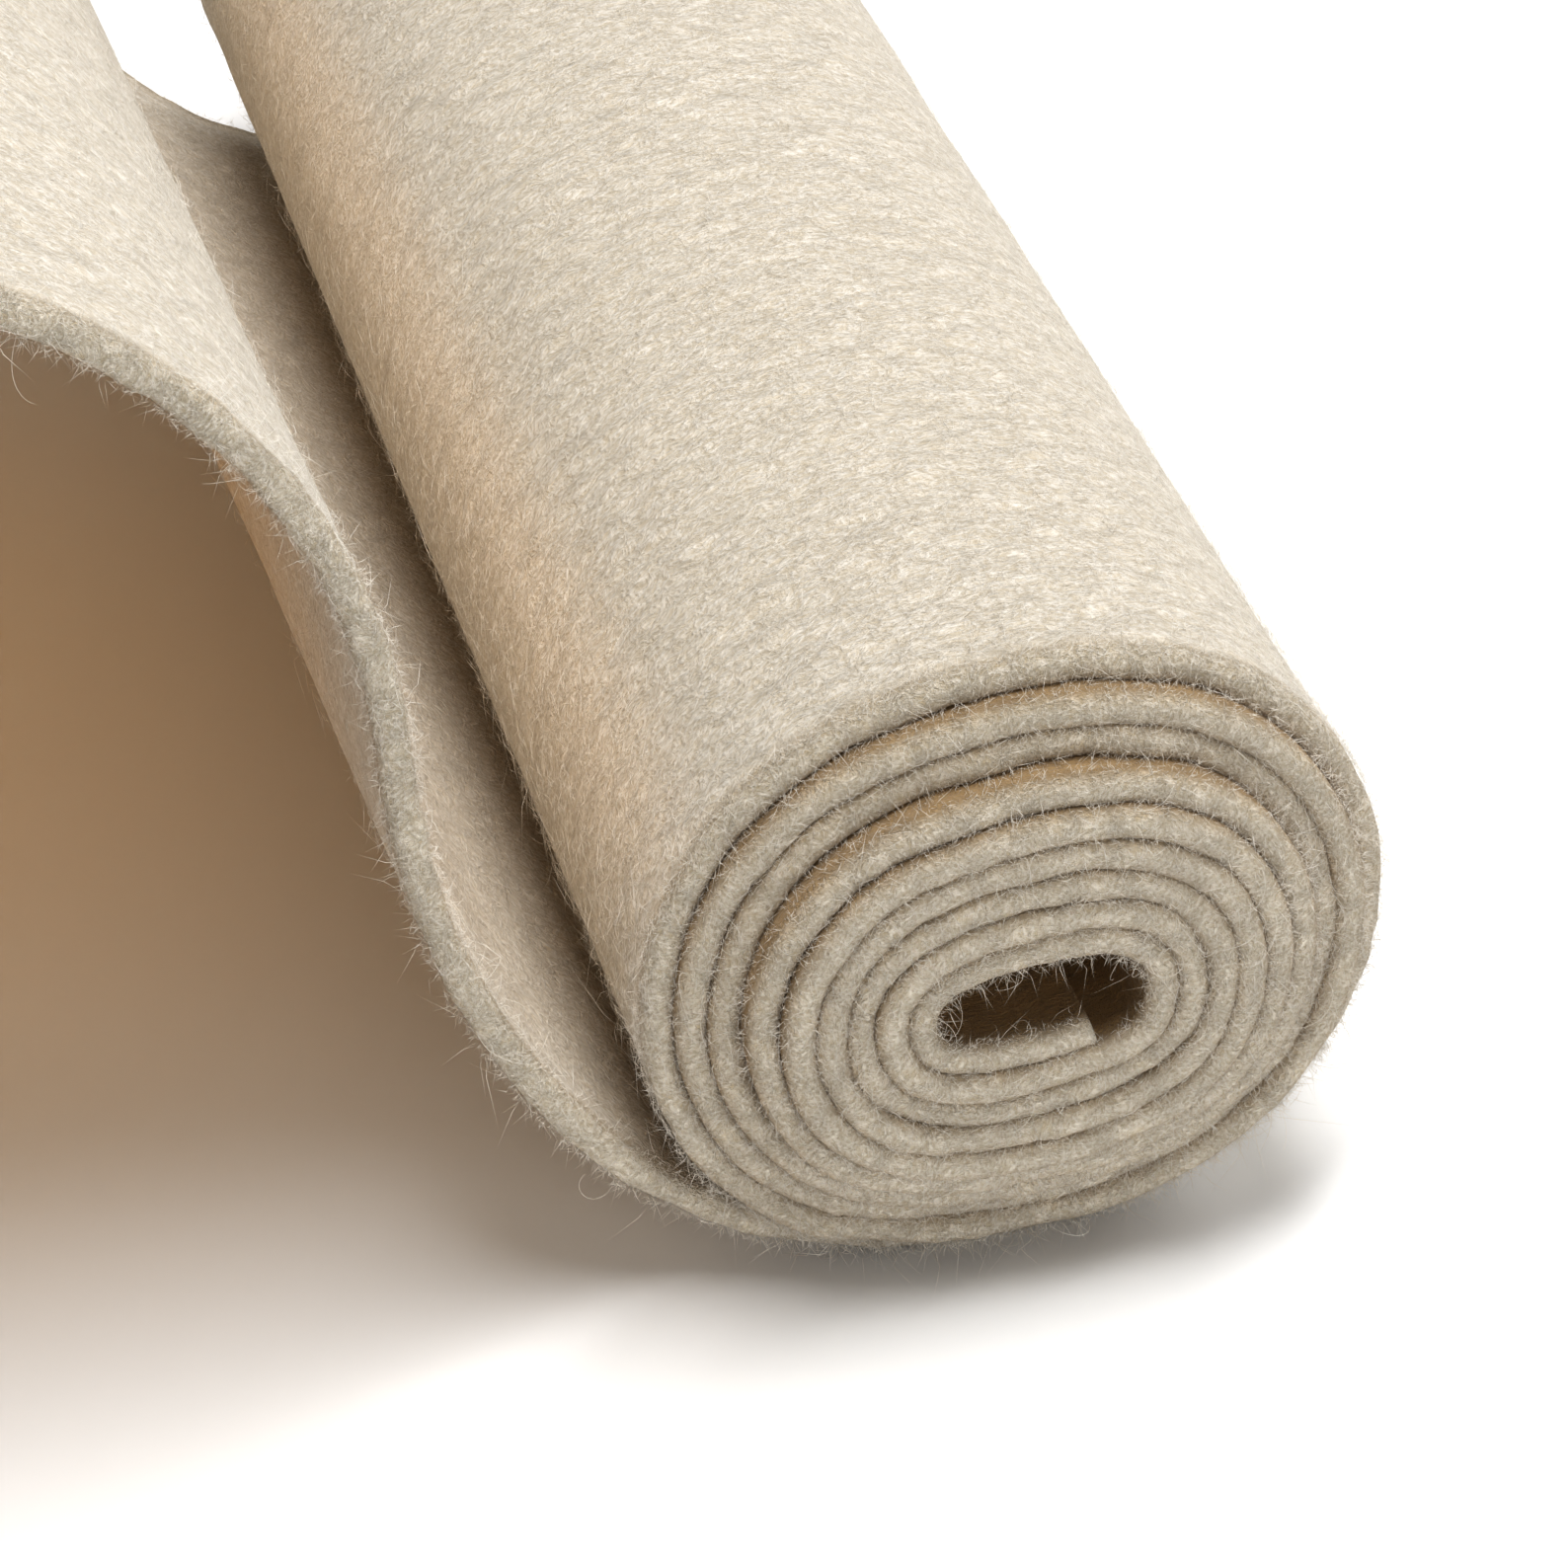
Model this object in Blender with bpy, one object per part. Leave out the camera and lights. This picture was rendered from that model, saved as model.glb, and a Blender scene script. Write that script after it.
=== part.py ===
"""A strip of thick wool felt, rolled up on itself, with its outer end standing off in an arch.

The roll lies along Y on its small flat spot. Its turns bend round a flat slot, the eye, which
runs right through. The outer turns are set back at the near end and stand out at the far end,
so both ends are stepped. The strip leaves the roll underneath, on the -X side, climbs, bends over
and comes down again on a flat foot. The fine turns are not cut here: the roll is one solid.
All sizes are in metres.
"""
import math

import bmesh
import bpy

# the strip
THICKNESS = 0.0030
STRIP_WIDTH = 0.254
TURNS = 9
LOOSE_LENGTH = 0.398

# the winding, measured to the middle of the strip's thickness; tallness stretches it upwards
FIRST_RADIUS = 0.0049
PITCH = 0.00308
SLOT_HALF = 0.0060
SLOT_ROUNDING = 2.0
SLOT_TILT = math.radians(6.0)
TALLNESS = 1.07
FLAT_SPOT_DEPTH = 0.0006
SETTLED_BELOW = 0.0002
STEPS_PER_TURN = 64

# the stepped ends
STEP_DEPTH = 0.0020
STEPPED_TURNS = (8, 7, 6, 5, 4)
PLUG_OVERLAP = 0.008
PLUG_SEGMENTS = 48

# where the strip leaves the roll: the +X side of the flat spot, the crease between roll and
# strip, and the first point of the strip's upper face that is past the crease
FLAT_RIGHT = 0.006
CREASE_X = -0.021
FIRST_OPEN_POINT = 6

# the loose end, from the roll outwards: name, length at the near edge, length at the far edge,
# degrees that it turns upwards, and the number of straight facets
LOOSE_SECTIONS = (
    ("lay", 0.003, 0.015, 0, 1),
    ("lift", 0.046, 0.042, 52, 12),
    ("climb", 0.048, 0.046, 33, 9),
    ("upright", 0.008, 0.008, 0, 1),
    ("lean", 0.054, 0.056, -50, 11),
    ("crest", 0.072, 0.070, -70, 14),
    ("fall", 0.044, 0.042, -40, 8),
)
LAND_RADIUS = 0.028
LAND_FACETS = 12
STATIONS = 8

FELT_COLOR = (0.79, 0.70, 0.55, 1.0)


def winding_point(turn, offset=0.0):
    """Point (x, z) of the winding after a number of turns, moved outwards by an offset.

    The turns start under the eye and go to -X, up, to +X and down again.
    """
    angle = -math.pi / 2 - 2 * math.pi * turn
    return slot_point(angle, FIRST_RADIUS + PITCH * turn + offset)


def slot_point(angle, radius):
    """Point (x, z) at a radius round the tilted slot, its round ends eased into its flat sides."""
    shift = SLOT_HALF * math.tanh(SLOT_ROUNDING * math.cos(angle)) / math.tanh(SLOT_ROUNDING)
    x = radius * math.cos(angle) + shift
    z = radius * math.sin(angle) * TALLNESS
    return (
        x * math.cos(SLOT_TILT) - z * math.sin(SLOT_TILT),
        x * math.sin(SLOT_TILT) + z * math.cos(SLOT_TILT),
    )


def roll_outline():
    """Outer surface of the last turn, from under the roll round to the floor."""
    steps = range(STEPS_PER_TURN + 1)
    turns = [TURNS - 1 + step / STEPS_PER_TURN for step in steps]
    return [winding_point(turn, THICKNESS / 2) for turn in turns]


LOWEST = min(z for x, z in roll_outline())
ROLL_CENTRE_Z = -LOWEST - FLAT_SPOT_DEPTH


def standing_outline():
    """The roll's outline on the floor, flattened where it rests, from the crease to the flat."""
    raised = [(x, z + ROLL_CENTRE_Z) for x, z in roll_outline()]
    on_floor = [(x, z if z > SETTLED_BELOW else 0.0) for x, z in raised]
    half = len(on_floor) // 2
    up = [(x, z) for x, z in on_floor[:half] if x < CREASE_X or z > ROLL_CENTRE_Z]
    down = [(x, z) for x, z in on_floor[half:] if z > 0.0 or x > FLAT_RIGHT]
    return up + down


def loose_middle(share):
    """Middle line of the loose end as (x, z, heading), for a share of the way to the far edge."""
    x, z, heading = 0.0, THICKNESS / 2, 0.0
    line = [(x, z, heading)]
    used = 0.0

    def run(length, turn, facets):
        nonlocal x, z, heading, used
        for _ in range(facets):
            heading += turn / facets / 2
            x -= math.cos(heading) * length / facets
            z += math.sin(heading) * length / facets
            heading += turn / facets / 2
            line.append((x, z, heading))
        used += length

    for _, near, far, degrees, facets in LOOSE_SECTIONS:
        run(near + (far - near) * share, math.radians(degrees), facets)
    landing_height = LAND_RADIUS * (1 - math.cos(heading))
    run((z - THICKNESS / 2 - landing_height) / math.sin(-heading), 0.0, 1)
    run(LAND_RADIUS * -heading, -heading, LAND_FACETS)
    run(LOOSE_LENGTH - used, 0.0, 1)
    return line


def loose_side(middle, side):
    """One face of the loose end: side is +1 for its upper face near the roll, -1 for its lower."""
    half = THICKNESS / 2 * side
    face = [(x + half * math.sin(heading), z + half * math.cos(heading)) for x, z, heading in middle]
    return [(x, max(z, 0.0)) for x, z in face]


def section(share):
    """Closed outline of the whole part in the XZ plane."""
    middle = loose_middle(share)
    upper = loose_side(middle, 1)[FIRST_OPEN_POINT:]
    return standing_outline() + loose_side(middle, -1) + upper[::-1]


def loft(rings, name):
    """Closed mesh through rings of (x, y, z) points, all with the same count."""
    bm = bmesh.new()
    loops = [[bm.verts.new(point) for point in ring] for ring in rings]
    count = len(loops[0])
    for first, second in zip(loops, loops[1:]):
        for i in range(count):
            j = (i + 1) % count
            bm.faces.new((first[i], first[j], second[j], second[i]))
    bm.faces.new(loops[0][::-1])
    bm.faces.new(loops[-1])
    bmesh.ops.triangulate(bm, faces=[face for face in bm.faces if len(face.verts) == 4])
    bmesh.ops.recalc_face_normals(bm, faces=bm.faces)
    mesh = bpy.data.meshes.new(name)
    bm.to_mesh(mesh)
    bm.free()
    obj = bpy.data.objects.new(name, mesh)
    bpy.context.collection.objects.link(obj)
    return obj


def slot_ring(radius, y):
    """Ring round the eye, standing at the roll's height."""
    angles = [2 * math.pi * i / PLUG_SEGMENTS for i in range(PLUG_SEGMENTS)]
    points = [slot_point(angle, radius) for angle in angles]
    return [(x, y, z + ROLL_CENTRE_Z) for x, z in points]


def make_body():
    """The roll's outer form and the loose end, in one piece."""
    rings = []
    for i in range(STATIONS + 1):
        share = i / STATIONS
        rings.append([(x, share * STRIP_WIDTH, z) for x, z in section(share)])
    return loft(rings, "felt_roll")


def make_step_plug(name, y):
    """The stepped stack of inner turns that stands out past an outer edge at y."""
    outermost = FIRST_RADIUS + PITCH * (STEPPED_TURNS[0] - 0.5)
    rings = [slot_ring(outermost, y + PLUG_OVERLAP)]
    for step, turn in enumerate(STEPPED_TURNS):
        radius = FIRST_RADIUS + PITCH * (turn - 0.5)
        if step:
            rings.append(slot_ring(radius, y - STEP_DEPTH * step))
        rings.append(slot_ring(radius, y - STEP_DEPTH * (step + 1)))
    return loft(rings, name)


def make_eye_cutter():
    """The open slot in the middle of the roll, right through."""
    radius = FIRST_RADIUS - THICKNESS / 2
    near = -STEP_DEPTH * len(STEPPED_TURNS) - PLUG_OVERLAP
    return loft([slot_ring(radius, near), slot_ring(radius, STRIP_WIDTH + PLUG_OVERLAP)], "eye_cutter")


def combine(body, tool, operation):
    """Join or cut the body with a tool that is not part of the result."""
    modifier = body.modifiers.new(tool.name, "BOOLEAN")
    modifier.object = tool
    modifier.operation = operation
    modifier.solver = "EXACT"
    tool.hide_render = True
    tool.display_type = "WIRE"


def felt_material():
    material = bpy.data.materials.new("wool_felt")
    material.use_nodes = True
    shader = material.node_tree.nodes["Principled BSDF"]
    shader.inputs["Base Color"].default_value = FELT_COLOR
    shader.inputs["Roughness"].default_value = 0.95
    shader.inputs["Metallic"].default_value = 0.0
    return material


def base_centre():
    """Middle of the part's footprint, in the frame that the outline is worked out in."""
    xs = [x for share in (0.0, 1.0) for x, z in section(share)]
    near = -STEP_DEPTH * len(STEPPED_TURNS)
    return ((min(xs) + max(xs)) / 2, (near + STRIP_WIDTH) / 2)


def main():
    for obj in list(bpy.data.objects):
        bpy.data.objects.remove(obj)
    body = make_body()
    body.data.materials.append(felt_material())
    tools = (
        (make_step_plug("near_steps", 0.0), "UNION"),
        (make_step_plug("far_steps", STRIP_WIDTH), "DIFFERENCE"),
        (make_eye_cutter(), "DIFFERENCE"),
    )
    frame = bpy.data.objects.new("base", None)
    bpy.context.collection.objects.link(frame)
    centre_x, centre_y = base_centre()
    frame.location = (-centre_x, -centre_y, 0.0)
    body.parent = frame
    for tool, operation in tools:
        tool.parent = frame
        combine(body, tool, operation)


main()
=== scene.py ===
"""Looks of a roll of thick cream wool felt: the wound strip, its cut edges and its loose fibres.

The strip is one long sheet of felt. It is wound round a flat slot, the eye, leaves the roll
underneath, climbs, bends over and comes down on a flat foot, as its CAD solid does.
Lengths are in metres, apart from names that end in _mm.
"""
import math

import bpy
import numpy as np
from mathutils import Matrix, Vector


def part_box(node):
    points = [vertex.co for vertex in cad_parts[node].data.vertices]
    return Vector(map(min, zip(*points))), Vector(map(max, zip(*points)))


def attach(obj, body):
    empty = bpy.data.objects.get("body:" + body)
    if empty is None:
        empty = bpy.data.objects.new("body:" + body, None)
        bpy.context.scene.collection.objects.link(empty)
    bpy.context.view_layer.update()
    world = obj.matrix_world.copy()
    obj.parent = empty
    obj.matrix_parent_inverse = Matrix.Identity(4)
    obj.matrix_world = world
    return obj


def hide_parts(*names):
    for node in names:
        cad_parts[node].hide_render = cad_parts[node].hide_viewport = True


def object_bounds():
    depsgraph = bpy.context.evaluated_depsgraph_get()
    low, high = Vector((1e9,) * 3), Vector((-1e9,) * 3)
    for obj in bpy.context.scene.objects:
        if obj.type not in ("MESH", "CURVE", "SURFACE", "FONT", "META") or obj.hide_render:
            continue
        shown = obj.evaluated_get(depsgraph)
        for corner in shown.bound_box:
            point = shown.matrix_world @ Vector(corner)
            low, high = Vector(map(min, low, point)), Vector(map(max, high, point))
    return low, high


bl_info = {
    "name": "Wool felt roll",
    "version": (1, 0, 0),
    "blender": (4, 5, 0),
    "location": "View3D > Sidebar > Felt roll",
    "description": "Winds a strip of thick wool felt, raises its fibres and lights it",
    "category": "Object",
}

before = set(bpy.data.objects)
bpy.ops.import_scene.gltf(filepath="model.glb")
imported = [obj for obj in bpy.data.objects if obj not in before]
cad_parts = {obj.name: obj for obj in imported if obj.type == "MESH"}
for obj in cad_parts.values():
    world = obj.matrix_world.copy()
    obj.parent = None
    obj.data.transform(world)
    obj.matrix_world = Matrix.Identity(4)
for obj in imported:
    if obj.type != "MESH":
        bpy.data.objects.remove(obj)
CAD_LOW, CAD_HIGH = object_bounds()
ROLL_LOW, ROLL_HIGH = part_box("felt_roll")

MM = 0.001

WHITE = (1.0, 1.0, 1.0)
# Light that has come through the felt
GLOW = (1.0, 0.48, 0.04)

# The loose end from the roll outwards, as in the CAD source: name, length at the near edge,
# length at the far edge, degrees that it turns upwards, and the number of straight facets.
LOOSE_SECTIONS = (
    ("lay", 0.003, 0.015, 0, 3),
    ("lift", 0.046, 0.042, 52, 24),
    ("climb", 0.048, 0.046, 33, 18),
    ("upright", 0.008, 0.008, 0, 2),
    ("lean", 0.054, 0.056, -50, 22),
    ("crest", 0.072, 0.070, -70, 28),
    ("fall", 0.044, 0.042, -40, 16),
)

# Facets of the straight fall, of the bend above the foot, and of the foot
FALL_FACETS = 30
LAND_FACETS = 24
FOOT_FACETS = 12

# Where the roll's turns settle on the floor: the strength fades to either side of the lowest
# place, further on the side where the strip leaves.
SETTLE_X = -0.005
SETTLE_LIFT = 0.0010
SETTLE_LEFT = 0.020
SETTLE_RIGHT = 0.012

# The strip wandered sideways as it was wound: turns from under the eye, and how many
# millimetres the near edge lies back there, on top of the outer turns' steady set-back.
WANDER_MM = (
    (0.0, 0.5), (0.5, 0.2), (1.3, -0.3), (2.2, 0.6), (2.9, -0.2), (3.5, 0.5), (4.3, -0.5),
    (5.0, -0.2), (5.5, -0.9), (6.0, -0.2), (6.4, 0.9), (6.9, 0.6), (7.4, -0.5), (7.8, -1.6),
    (8.05, -1.7), (8.3, -0.5), (8.5, 0.2), (8.8, 0.4), (9.0, 0.0),
)

# Most of a turn's outer face that can show beside the next turn
SHOWN_MOST = 0.005

# Share of the edge fibres that stand on the outer face where it shows
SHOWN_SHARE = 0.3

# Space left between the faces of neighbouring turns
TURN_GAP = 0.00006

# How far a turn wanders in and out, and how far before the last turn's end that fades
UNEVEN = 0.00008
UNEVEN_FADE = 0.6

# Step along the strip's middle line
DENSE_STEP = 0.0005

# The line's bends are eased over a number of steps, from a length before the end of the last
# turn and fully a length later
EASE_STEPS = 12
EASE_BEFORE = 0.05
EASE_LENGTH = 0.02

# The sideways wander is eased over a number of steps
WANDER_STEPS = 20

# Length before the end of the last turn over which the swelling between turns fades
SWELL_FADE = 0.08

# The faces' unevenness is held down between turns, to a share, and free on the outer felt
LOFT_HELD = 0.25
LOFT_FREE_LENGTH = 0.20
LOFT_FADE = 0.05

# Length between the mesh's sections: it grows from the inner end, and is steady after a length
INNER_STEP = 0.0011
OUTER_STEP = 0.0021
FINE_TURNS_LENGTH = 0.30

# Powers that shape the cut edge's section: 1 is an ellipse, less is fuller and blunter
EDGE_FULLNESS = 0.9
EDGE_BLUNTNESS = 0.8

# Spacing of the mesh's points across a face: the first, its growth, and the widest
FACE_STEP = 0.0009
FACE_STEP_GROWTH = 1.5
FACE_STEP_WIDEST = 0.0105

# Segments of a short fibre and of a long hair
SHORT_SEGMENTS = 2
LONG_SEGMENTS = 18

# Places of the winding where its shape is worked out
WINDING_PLACES = 4000

# Points on a cut edge's rounding, from face to face
ROUNDING_POINTS = 11

# Width beside a cut edge that follows the uneven cut
RAGGED_REACH = 0.004

# How far from a cut edge the felt is fluffed out
FLUFF_REACH = 0.0045

# How far from a cut edge the felt's faces still have its colour
CUT_FADE = 0.0015

# How the warm shade painted between two turns comes in with depth, how much of it an open side has,
# and how strong it is at most
GROOVE_SHADE_POWER = 0.8
GROOVE_SHADE_OPEN = 0.3
GROOVE_SHADE_MOST = 0.9

# Edge fibres are rooted this deep, and surface fibres a fifth of it
ROOT_DEPTH = 0.0001

# Fibres keep this far above the floor
FIBRE_CLEARANCE = 0.0001

# Fibres on a cut edge: how far round its rounding they stand (radians), how strongly they crowd
# towards the faces, the spread of their directions and bends, and the longest one
EDGE_SWING = 1.5
EDGE_CROWDING = 0.8
EDGE_LEAN = 0.8
EDGE_SPREAD = 0.85
EDGE_BEND = 0.5
EDGE_LONGEST = 0.0045

# Length of the roll's outside that carries surface fibres
ROLL_FACE_LENGTH = 0.215

# Surface fibres: share that stands upright, the longest upright one, and the longest one
UPRIGHT_SHARE = 0.16
UPRIGHT_LONGEST = 0.0018
FACE_LONGEST = 0.009

# Share of the long hairs that stands on the inner end's first length, in the eye
EYE_HAIR_SHARE = 0.10
EYE_LENGTH = 0.06

# Fibre directions in the felt's face: degrees, millimetres along a fibre, millimetres between
FIBRE_LAYS = ((14, 2.6, 0.50), (63, 2.2, 0.42), (112, 3.0, 0.52), (158, 2.4, 0.45))

# How much the laid fibres and the nap add to the felt's relief
LAY_RELIEF = 0.6
NAP_RELIEF = 1.5

# Tufts on a cut edge
CUT_GRAIN_MM = 0.42


class StripSettings(bpy.types.PropertyGroup):
    width: bpy.props.FloatProperty(
        name="Strip width", description="Width of the felt, which is the roll's length",
        default=0.254, unit="LENGTH")
    thickness: bpy.props.FloatProperty(
        name="Thickness", description="Thickness of the felt", default=0.0030, unit="LENGTH")
    loose_length: bpy.props.FloatProperty(
        name="Loose length", description="Length of felt that isn't wound",
        default=0.398, unit="LENGTH")
    turns: bpy.props.FloatProperty(
        name="Turns", description="Whole turns from under the eye", default=9.0)
    first_turn: bpy.props.FloatProperty(
        name="First turn", description="Where the inner end lies, in turns from under the eye",
        default=-0.06)
    pitch: bpy.props.FloatProperty(
        name="Pitch", description="How much the radius grows in a turn",
        default=0.00308, unit="LENGTH")
    first_radius: bpy.props.FloatProperty(
        name="First radius", description="Radius of the first turn, to the felt's middle",
        default=0.0049, unit="LENGTH")
    slot_half: bpy.props.FloatProperty(
        name="Half slot", description="Half the length of the slot that the turns go round",
        default=0.0060, unit="LENGTH")
    slot_rounding: bpy.props.FloatProperty(
        name="Slot rounding", description="How sharply the turns change from flat to round",
        default=2.0)
    slot_tilt: bpy.props.FloatProperty(
        name="Slot tilt", description="How far the slot is turned up on the +X side",
        default=math.radians(6.0), subtype="ANGLE")
    tallness: bpy.props.FloatProperty(
        name="Tallness", description="How much further apart the turns lie above and below",
        default=1.07)
    flat_depth: bpy.props.FloatProperty(
        name="Flat spot", description="How far the roll is pressed into its flat spot",
        default=0.0006, unit="LENGTH")
    land_radius: bpy.props.FloatProperty(
        name="Landing radius", description="Radius of the bend above the loose end's foot",
        default=0.028, unit="LENGTH")
    set_back: bpy.props.FloatProperty(
        name="Set back", description="How far each outer turn is set back at the near end",
        default=0.0020, unit="LENGTH")
    set_back_from: bpy.props.FloatProperty(
        name="Set back from", description="Turn from which the turns are set back", default=4.0)
    edge_rounding: bpy.props.FloatProperty(
        name="Edge rounding", description="Depth of the cut edge's rounding",
        default=0.0016, unit="LENGTH")
    edge_fluff: bpy.props.FloatProperty(
        name="Edge fluff", description="How much each face fluffs out at a cut edge",
        default=0.00030, unit="LENGTH")
    edge_wobble: bpy.props.FloatProperty(
        name="Edge wobble", description="How unevenly the strip was cut",
        default=0.00030, unit="LENGTH")
    loft: bpy.props.FloatProperty(
        name="Loft", description="Unevenness of the felt's two faces",
        default=0.00014, unit="LENGTH")


class FibreSettings(bpy.types.PropertyGroup):
    seed: bpy.props.IntProperty(
        name="Seed", description="Start of the random draws", default=7)
    radius: bpy.props.FloatProperty(
        name="Fibre radius", description="Radius of a drawn fibre, a little coarser than wool",
        default=0.000029, unit="LENGTH")
    edge_count: bpy.props.IntProperty(
        name="Near edge fibres", description="Short fibres on the near cut edge", default=60000)
    far_edge_count: bpy.props.IntProperty(
        name="Far edge fibres", description="Short fibres on the far cut edge", default=10000)
    edge_length: bpy.props.FloatProperty(
        name="Edge fibre length", description="Usual length of a fibre on a cut edge",
        default=0.0010, unit="LENGTH")
    face_count: bpy.props.IntProperty(
        name="Surface fibres", description="Fibres that lie on the shown faces", default=49000)
    face_length: bpy.props.FloatProperty(
        name="Surface fibre length", description="Usual length of a fibre on a face",
        default=0.0022, unit="LENGTH")
    long_count: bpy.props.IntProperty(
        name="Long hairs", description="Long, curly hairs on the near edge", default=130)


class ColourSettings(bpy.types.PropertyGroup):
    felt: bpy.props.StringProperty(
        name="Felt", description="Undyed wool, as an sRGB hex value", default="#F3ECE1")
    felt_deep: bpy.props.StringProperty(
        name="Felt between fibres", description="Shaded wool between the fibres",
        default="#D7CBB7")
    # Partly painted light: the wool a cut edge shows, painted lighter than the faces to stand in for
    # light on the near end's cut faces
    cut: bpy.props.StringProperty(
        name="Cut edge", description="Wool inside the felt, which the cut edges show",
        default="#FFF6E6")
    cut_deep: bpy.props.StringProperty(
        name="Cut edge between fibres", description="Shaded wool between a cut edge's fibres",
        default="#DECFB4")
    # Painted shade: a warm brown painted deep between two turns, standing in for the shade and the
    # warm light bounced through the felt there
    painted_groove_shade: bpy.props.StringProperty(
        name="Groove", description="Wool deep between two turns", default="#B8996C")
    fibre: bpy.props.StringProperty(
        name="Fibre", description="Single wool fibres", default="#FFF9EE")
    floor: bpy.props.StringProperty(
        name="Floor", description="Pale studio floor", default="#FFFFFF")


class StageSettings(bpy.types.PropertyGroup):
    pitch: bpy.props.FloatProperty(
        name="Camera pitch", description="How far the camera looks down",
        default=math.radians(34.0), subtype="ANGLE")
    heading: bpy.props.FloatProperty(
        name="Camera heading", description="How far the camera is turned from +Y to +X",
        default=math.radians(15.2), subtype="ANGLE")
    distance: bpy.props.FloatProperty(
        name="Camera distance", description="Along the view, to where the roll rests",
        default=0.560, unit="LENGTH")
    lens: bpy.props.FloatProperty(
        name="Lens", description="Focal length in millimetres", default=124.7)
    rest_right: bpy.props.FloatProperty(
        name="Rest point right", description="Where the roll rests, right of the view's middle",
        default=0.0210, unit="LENGTH")
    rest_down: bpy.props.FloatProperty(
        name="Rest point down", description="Where the roll rests, below the view's middle",
        default=0.0470, unit="LENGTH")
    rest_inset: bpy.props.FloatProperty(
        name="Rest point inset", description="From the roll's +X side to where it rests",
        default=0.0408, unit="LENGTH")


# ---- the strip's line


def wobble(values, length, seed):
    """Smooth random curve of about -1 to 1 with bumps about one length apart."""
    draw = np.random.default_rng(seed)
    total = np.zeros_like(np.asarray(values, float))
    for _ in range(5):
        wave = 2 * math.pi / (length * draw.uniform(0.7, 1.8))
        total += np.sin(values * wave + draw.uniform(0, 2 * math.pi))
    return total / 3.2


def surface_wobble(along, across, length, seed):
    """Smooth random field of about -1 to 1 over the strip, with bumps about one length apart."""
    draw = np.random.default_rng(seed)
    total = np.zeros(np.broadcast(along, across).shape)
    for _ in range(9):
        wave = 2 * math.pi / (length * draw.uniform(0.7, 1.8))
        turn = draw.uniform(0, 2 * math.pi)
        phase = draw.uniform(0, 2 * math.pi)
        total += np.sin((along * math.cos(turn) + across * math.sin(turn)) * wave + phase)
    return total / 4.5


def winding(strip, turns, offset=0.0):
    """Points (x, z) of the winding round the slot's middle, moved outwards by an offset."""
    angle = -math.pi / 2 - 2 * math.pi * turns
    radius = strip.first_radius + strip.pitch * turns + offset
    ease = strip.slot_rounding
    x = radius * np.cos(angle) + strip.slot_half * np.tanh(ease * np.cos(angle)) / math.tanh(ease)
    z = radius * np.sin(angle) * strip.tallness
    cos, sin = math.cos(strip.slot_tilt), math.sin(strip.slot_tilt)
    return np.stack([x * cos - z * sin, x * sin + z * cos], axis=1)


def last_turn(strip):
    """Outer surface of the last turn, before it settles."""
    return winding(strip, np.linspace(strip.turns - 1, strip.turns, 65), strip.thickness / 2)


def settled(points):
    """The turns pressed up a little where they lie on the floor."""
    x, z = points[:, 0], points[:, 1]
    middle = z.max() / 2
    reach = np.where(x < SETTLE_X, SETTLE_LEFT, SETTLE_RIGHT)
    lift = SETTLE_LIFT * np.exp(-(((x - SETTLE_X) / reach) ** 2)) * np.clip(1 - z / middle, 0, 1)
    return np.stack([x, z + lift], axis=1)


def loose_end(strip, share):
    """Middle line of the loose end, for a share of the way from the near to the far edge."""
    half = strip.thickness / 2
    x, z, heading, used = 0.0, half, 0.0, 0.0
    line = [(x, z)]

    def run(length, turn, facets):
        nonlocal x, z, heading, used
        for _ in range(facets):
            heading += turn / facets / 2
            x -= math.cos(heading) * length / facets
            z += math.sin(heading) * length / facets
            heading += turn / facets / 2
            line.append((x, z))
        used += length

    for _, near, far, degrees, facets in LOOSE_SECTIONS:
        run(near + (far - near) * share, math.radians(degrees), facets)
    landing = strip.land_radius * (1 - math.cos(heading))
    run((z - half - landing) / math.sin(-heading), 0.0, FALL_FACETS)
    run(strip.land_radius * -heading, -heading, LAND_FACETS)
    run(strip.loose_length - used, 0.0, FOOT_FACETS)
    return np.array(line)


def lengths_along(points):
    """Length of a line up to each of its points."""
    steps = np.hypot(*np.diff(points, axis=0).T)
    return np.concatenate([[0.0], np.cumsum(steps)])


def resampled(points, count):
    """The line with evenly spaced points."""
    length = lengths_along(points)
    at = np.linspace(0, length[-1], count)
    return np.stack([np.interp(at, length, column) for column in points.T], axis=1)


def smoothed(points, reach):
    """The line with its corners eased over a number of points."""
    kernel = np.hanning(2 * reach + 3)[1:-1]
    kernel /= kernel.sum()
    padded = np.pad(points, ((reach, reach), (0, 0)), mode="edge")
    return np.stack([np.convolve(column, kernel, mode="valid") for column in padded.T], axis=1)


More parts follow.
